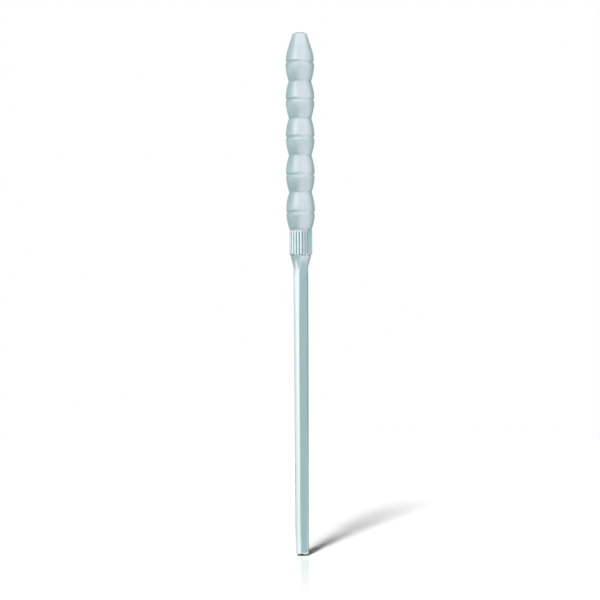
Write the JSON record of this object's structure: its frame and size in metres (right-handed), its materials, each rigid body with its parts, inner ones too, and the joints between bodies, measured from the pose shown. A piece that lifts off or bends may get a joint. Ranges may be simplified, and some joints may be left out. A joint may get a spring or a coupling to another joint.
{
  "type": "scalpel handle",
  "caption": "Slim round scalpel handle with a beaded satin grip, a fluted collar and a tapered hexagonal shaft that turns to draw a split collet shut on a fine blade.",
  "frame": {"origin": "centre of the crowned foot, on the handle's axis", "axes": "+Z along the handle's axis from the foot to the collet's mouth; -Y faces the picture's camera"},
  "size_m": [0.0082, 0.0082, 0.15],
  "materials": {
    "grip_steel": "fine bead-blasted satin stainless steel",
    "shaft_steel": "bright drawn and polished stainless steel",
    "collet_steel": "hardened and ground stainless steel",
    "bush_bronze": "turned bearing bronze",
    "seal_rubber": "black sterilisable rubber"
  },
  "bodies": {
    "grip": {"grip_sleeve": "grip_steel", "guide_bush": "bush_bronze", "rear_bush": "bush_bronze"},
    "shaft": {"shaft": "shaft_steel", "draw_tube": "shaft_steel", "tube_pin": "collet_steel", "thrust_washer": "collet_steel", "seal_ring": "seal_rubber"},
    "collet": {"collet": "collet_steel"}
  },
  "joints": [
    {"name": "shaft_turn", "type": "hinge", "parent": "grip", "child": "shaft", "pos_m": [0, 0, 0.0936], "axis": [0, 0, -1], "range_deg": [0, 640]},
    {"name": "collet_draw", "type": "slide", "parent": "grip", "child": "collet", "axis": [0, 0, 1], "range_m": [0, 0.0008]}
  ],
  "couplings": [
    {"joint": "shaft_turn", "follows": "collet_draw", "rad_per_m": 13963}
  ]
}
